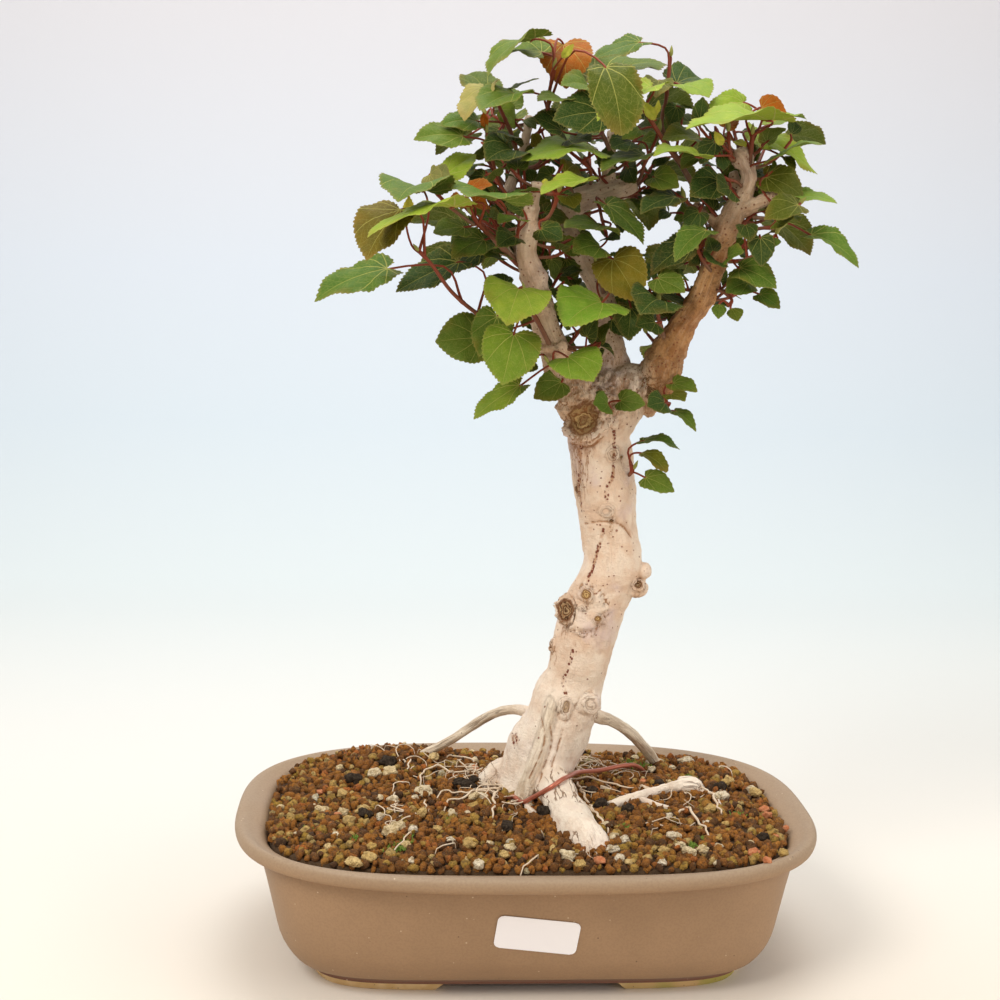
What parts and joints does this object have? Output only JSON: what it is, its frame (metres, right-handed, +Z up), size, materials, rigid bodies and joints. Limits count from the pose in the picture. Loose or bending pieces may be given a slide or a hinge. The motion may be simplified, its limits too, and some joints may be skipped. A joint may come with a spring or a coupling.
{
  "type": "potted bonsai tree",
  "caption": "Small woody mallow tree with heart-shaped leaves, a pale kinked trunk and spreading surface roots, in an oblong footed stoneware pot",
  "frame": {"origin": "middle of the object's outline on the ground, under the pot's feet", "axes": "+Z up the tree, +X along the pot to its right side, -Y to the front with the label"},
  "size_m": [0.307, 0.216, 0.4718],
  "materials": {
    "stoneware": "matt grey-brown stoneware",
    "clay_grains": "loose baked clay grains",
    "bark": "pale cream bark",
    "wire": "copper-brown anodised",
    "paper": "coated white paper",
    "screen": "black moulded mesh",
    "leaf_green": "satin leaf",
    "leaf_young": "satin young leaf"
  },
  "bodies": {
    "root": {"pot": "stoneware", "soil": "clay_grains", "trunk": "bark", "anchor_wire": "wire", "label": "paper", "drain_screen_left": "screen", "drain_screen_right": "screen", "shoot_far_left": "leaf_green", "shoot_left_mid": "leaf_green", "shoot_left_curl": "leaf_young", "shoot_upper_left": "leaf_green", "shoot_left_back": "leaf_green", "shoot_top_left": "leaf_green", "shoot_top_mid": "leaf_green", "shoot_top_right": "leaf_young", "shoot_top_cut": "leaf_green", "shoot_right_top": "leaf_green", "shoot_right_top_left": "leaf_young", "shoot_right_left": "leaf_green", "shoot_right_inner": "leaf_green", "shoot_right_low_left": "leaf_green", "shoot_right_side": "leaf_green", "shoot_right_cluster": "leaf_young", "shoot_far_right": "leaf_young", "shoot_right_knob": "leaf_green", "shoot_mid_fork": "leaf_green", "shoot_heart_stem": "leaf_green", "shoot_front_left": "leaf_green", "shoot_low_left": "leaf_green", "shoot_trunk_front": "leaf_green", "shoot_trunk_right": "leaf_green", "shoot_trunk_low": "leaf_green", "shoot_inner_left": "leaf_green", "shoot_inner_right": "leaf_young", "shoot_inner_top": "leaf_young", "shoot_C_right": "leaf_green", "shoot_C_low": "leaf_green", "shoot_rear_1": "leaf_green", "shoot_rear_2": "leaf_green", "shoot_rear_3": "leaf_green", "shoot_rear_4": "leaf_green", "shoot_rear_5": "leaf_green", "shoot_rear_6": "leaf_green", "shoot_rear_7": "leaf_green", "shoot_rear_8": "leaf_green", "shoot_rear_9": "leaf_green", "shoot_rear_10": "leaf_green", "shoot_rear_11": "leaf_green", "shoot_rear_12": "leaf_green"}
  },
  "joints": []
}
